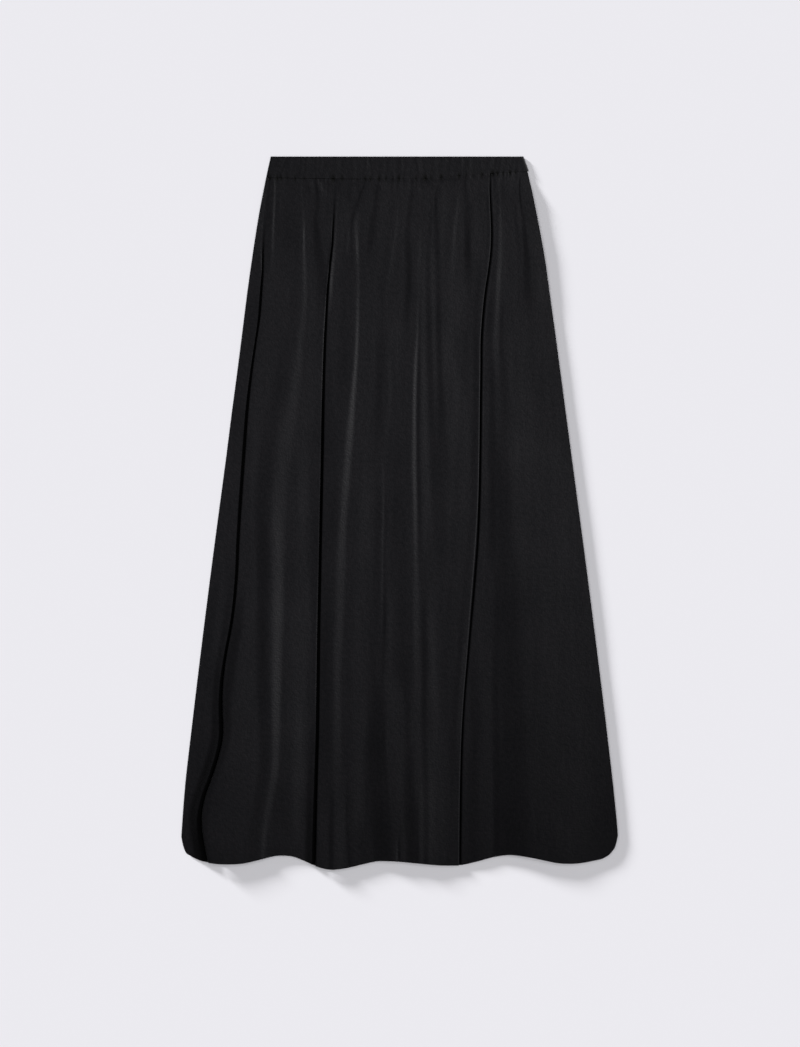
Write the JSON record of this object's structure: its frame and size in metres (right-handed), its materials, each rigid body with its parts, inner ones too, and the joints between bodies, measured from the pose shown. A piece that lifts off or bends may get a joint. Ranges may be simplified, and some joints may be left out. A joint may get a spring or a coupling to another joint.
{
  "type": "maxi skirt",
  "caption": "Long A-line skirt with a gathered elastic waistband, laid flat face up, with overlapped lengthwise folds and a softly waved hem.",
  "frame": {"origin": "middle of the laid-out skirt's box, on the surface it lies on", "axes": "+Z out of the front of the skirt, away from the surface; +Y from the hem towards the waist; +X to the right when the front is looked at"},
  "size_m": [0.5798, 0.9505, 0.0103],
  "materials": {
    "crepe_front": "black crepe-back satin worn crepe side out, fine weave, soft low sheen",
    "crepe_back": "the same black crepe on the back panel",
    "crepe_waistband": "the same black crepe, doubled over the elastic and gathered"
  },
  "bodies": {
    "root": {"front_panel": "crepe_front", "back_panel": "crepe_back", "waistband": "crepe_waistband"}
  },
  "joints": []
}
